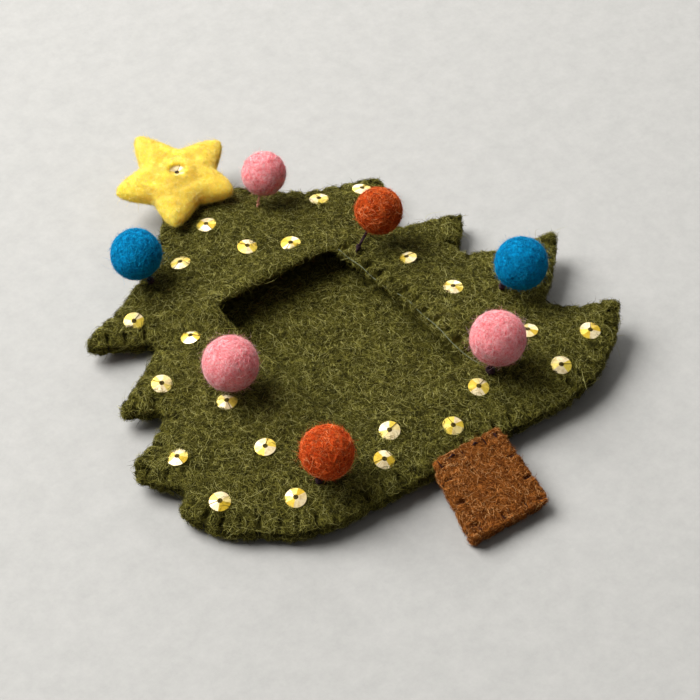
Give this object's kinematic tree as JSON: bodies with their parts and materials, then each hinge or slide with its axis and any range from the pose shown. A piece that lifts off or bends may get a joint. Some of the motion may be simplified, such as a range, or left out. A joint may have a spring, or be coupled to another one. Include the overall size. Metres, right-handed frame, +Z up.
{
  "type": "felt christmas ornament",
  "caption": "Hand-sewn felt tree ornament with a picture window, a stuffed star, a trunk flap, cup sequins and wool baubles that nod on short threads.",
  "frame": {"origin": "on the flat underside of the back panel, under the middle of the picture window", "axes": "+X to the tree's right, +Y from the trunk to the star, +Z up out of the front face"},
  "size_m": [0.1032, 0.1202, 0.0195],
  "materials": {
    "green_felt": "fuzzy olive wool felt",
    "green_thread": "dull thread",
    "brown_felt": "fuzzy brown wool felt",
    "brown_thread": "dull thread",
    "yellow_wool": "matted yellow wool",
    "blue_wool": "matted blue wool",
    "pink_wool": "matted pink wool",
    "rust_wool": "matted rust wool",
    "orange_wool": "matted orange wool",
    "plum_thread": "dull dark thread",
    "gold_film": "gold mirror film"
  },
  "bodies": {
    "tree": {"front_panel": "green_felt", "back_panel": "green_felt", "edge_thread": "green_thread", "sequin_01": "gold_film", "sequin_02": "gold_film", "sequin_03": "gold_film", "sequin_04": "gold_film", "sequin_05": "gold_film", "sequin_06": "gold_film", "sequin_07": "gold_film", "sequin_08": "gold_film", "sequin_09": "gold_film", "sequin_10": "gold_film", "sequin_11": "gold_film", "sequin_12": "gold_film", "sequin_13": "gold_film", "sequin_14": "gold_film", "sequin_15": "gold_film", "sequin_16": "gold_film", "sequin_17": "gold_film", "sequin_18": "gold_film", "sequin_19": "gold_film", "sequin_20": "gold_film", "sequin_21": "gold_film", "sequin_22": "gold_film", "sequin_23": "gold_film"},
    "star_body": {"star": "yellow_wool", "star_sequin": "gold_film"},
    "trunk_body": {"trunk_front": "brown_felt", "trunk_back": "brown_felt", "trunk_thread": "brown_thread"},
    "blue_left_thread": {"blue_left_shank": "plum_thread"},
    "blue_left_wool": {"blue_left_ball": "blue_wool"},
    "pink_top_thread": {"pink_top_shank": "plum_thread"},
    "pink_top_wool": {"pink_top_ball": "pink_wool"},
    "rust_right_thread": {"rust_right_shank": "plum_thread"},
    "rust_right_wool": {"rust_right_ball": "rust_wool"},
    "blue_right_thread": {"blue_right_shank": "plum_thread"},
    "blue_right_wool": {"blue_right_ball": "blue_wool"},
    "pink_right_thread": {"pink_right_shank": "plum_thread"},
    "pink_right_wool": {"pink_right_ball": "pink_wool"},
    "pink_left_thread": {"pink_left_shank": "plum_thread"},
    "pink_left_wool": {"pink_left_ball": "pink_wool"},
    "orange_thread": {"orange_shank": "plum_thread"},
    "orange_wool": {"orange_ball": "orange_wool"}
  },
  "joints": [
    {"name": "star_twist", "type": "hinge", "parent": "tree", "child": "star_body", "pos_m": [-0.00187, 0.05386, 0.00791], "axis": [0, 0, 1], "range_deg": [-8, 8], "stiffness_Nm_per_rad": 0.002},
    {"name": "trunk_fold", "type": "hinge", "parent": "tree", "child": "trunk_body", "pos_m": [0.00114, -0.03528, 0.00574], "axis": [-0.9987, 0.0506, 0], "range_deg": [0, 75], "stiffness_Nm_per_rad": 0.001},
    {"name": "blue_left_lean", "type": "hinge", "parent": "tree", "child": "blue_left_thread", "pos_m": [-0.02099, 0.0353, 0.00552], "axis": [-0.9063, -0.4226, 0], "range_deg": [-25, 10], "stiffness_Nm_per_rad": 0.0006},
    {"name": "blue_left_sway", "type": "hinge", "parent": "blue_left_thread", "child": "blue_left_wool", "pos_m": [-0.02116, 0.03566, 0.00633], "axis": [-0.3798, 0.8146, -0.4384], "range_deg": [-15, 15], "stiffness_Nm_per_rad": 0.0006},
    {"name": "pink_top_lean", "type": "hinge", "parent": "tree", "child": "pink_top_thread", "pos_m": [0.00792, 0.03954, 0.00659], "axis": [-0.515, 0.8572, 0], "range_deg": [-25, 10], "stiffness_Nm_per_rad": 0.0006},
    {"name": "pink_top_sway", "type": "hinge", "parent": "pink_top_thread", "child": "pink_top_wool", "pos_m": [0.00843, 0.03984, 0.00752], "axis": [0.7269, 0.4368, -0.5299], "range_deg": [-15, 15], "stiffness_Nm_per_rad": 0.0006},
    {"name": "rust_right_lean", "type": "hinge", "parent": "tree", "child": "rust_right_thread", "pos_m": [0.01577, 0.01646, 0.0077], "axis": [-0.2079, 0.9781, 0], "range_deg": [-25, 10], "stiffness_Nm_per_rad": 0.0006},
    {"name": "rust_right_sway", "type": "hinge", "parent": "rust_right_thread", "child": "rust_right_wool", "pos_m": [0.01795, 0.01692, 0.00971], "axis": [0.6545, 0.1391, -0.7431], "range_deg": [-15, 15], "stiffness_Nm_per_rad": 0.0006},
    {"name": "blue_right_lean", "type": "hinge", "parent": "tree", "child": "blue_right_thread", "pos_m": [0.03164, -0.00888, 0.0076], "axis": [0.5299, 0.848, 0], "range_deg": [-25, 10], "stiffness_Nm_per_rad": 0.0006},
    {"name": "blue_right_sway", "type": "hinge", "parent": "blue_right_thread", "child": "blue_right_wool", "pos_m": [0.03211, -0.00918, 0.00855], "axis": [0.7344, -0.4589, -0.5], "range_deg": [-15, 15], "stiffness_Nm_per_rad": 0.0006},
    {"name": "pink_right_lean", "type": "hinge", "parent": "tree", "child": "pink_right_thread", "pos_m": [0.0158, -0.02473, 0.0077], "axis": [-0.4226, 0.9063, 0], "range_deg": [-25, 10], "stiffness_Nm_per_rad": 0.0006},
    {"name": "pink_right_sway", "type": "hinge", "parent": "pink_right_thread", "child": "pink_right_wool", "pos_m": [0.0161, -0.02459, 0.00843], "axis": [0.828, 0.3861, -0.4067], "range_deg": [-15, 15], "stiffness_Nm_per_rad": 0.0006},
    {"name": "pink_left_lean", "type": "hinge", "parent": "tree", "child": "pink_left_thread", "pos_m": [-0.02523, 0.00101, 0.00783], "axis": [0, -1, 0], "range_deg": [-25, 10], "stiffness_Nm_per_rad": 0.0006},
    {"name": "pink_left_sway", "type": "hinge", "parent": "pink_left_thread", "child": "pink_left_wool", "pos_m": [-0.02526, 0.00101, 0.00833], "axis": [-0.9976, 0, -0.0698], "range_deg": [-15, 15], "stiffness_Nm_per_rad": 0.0006},
    {"name": "orange_lean", "type": "hinge", "parent": "tree", "child": "orange_thread", "pos_m": [-0.02574, -0.02654, 0.00703], "axis": [-0.2079, 0.9781, 0], "range_deg": [-25, 10], "stiffness_Nm_per_rad": 0.0006},
    {"name": "orange_sway", "type": "hinge", "parent": "orange_thread", "child": "orange_wool", "pos_m": [-0.02549, -0.02649, 0.00768], "axis": [0.9069, 0.1928, -0.3746], "range_deg": [-15, 15], "stiffness_Nm_per_rad": 0.0006}
  ]
}
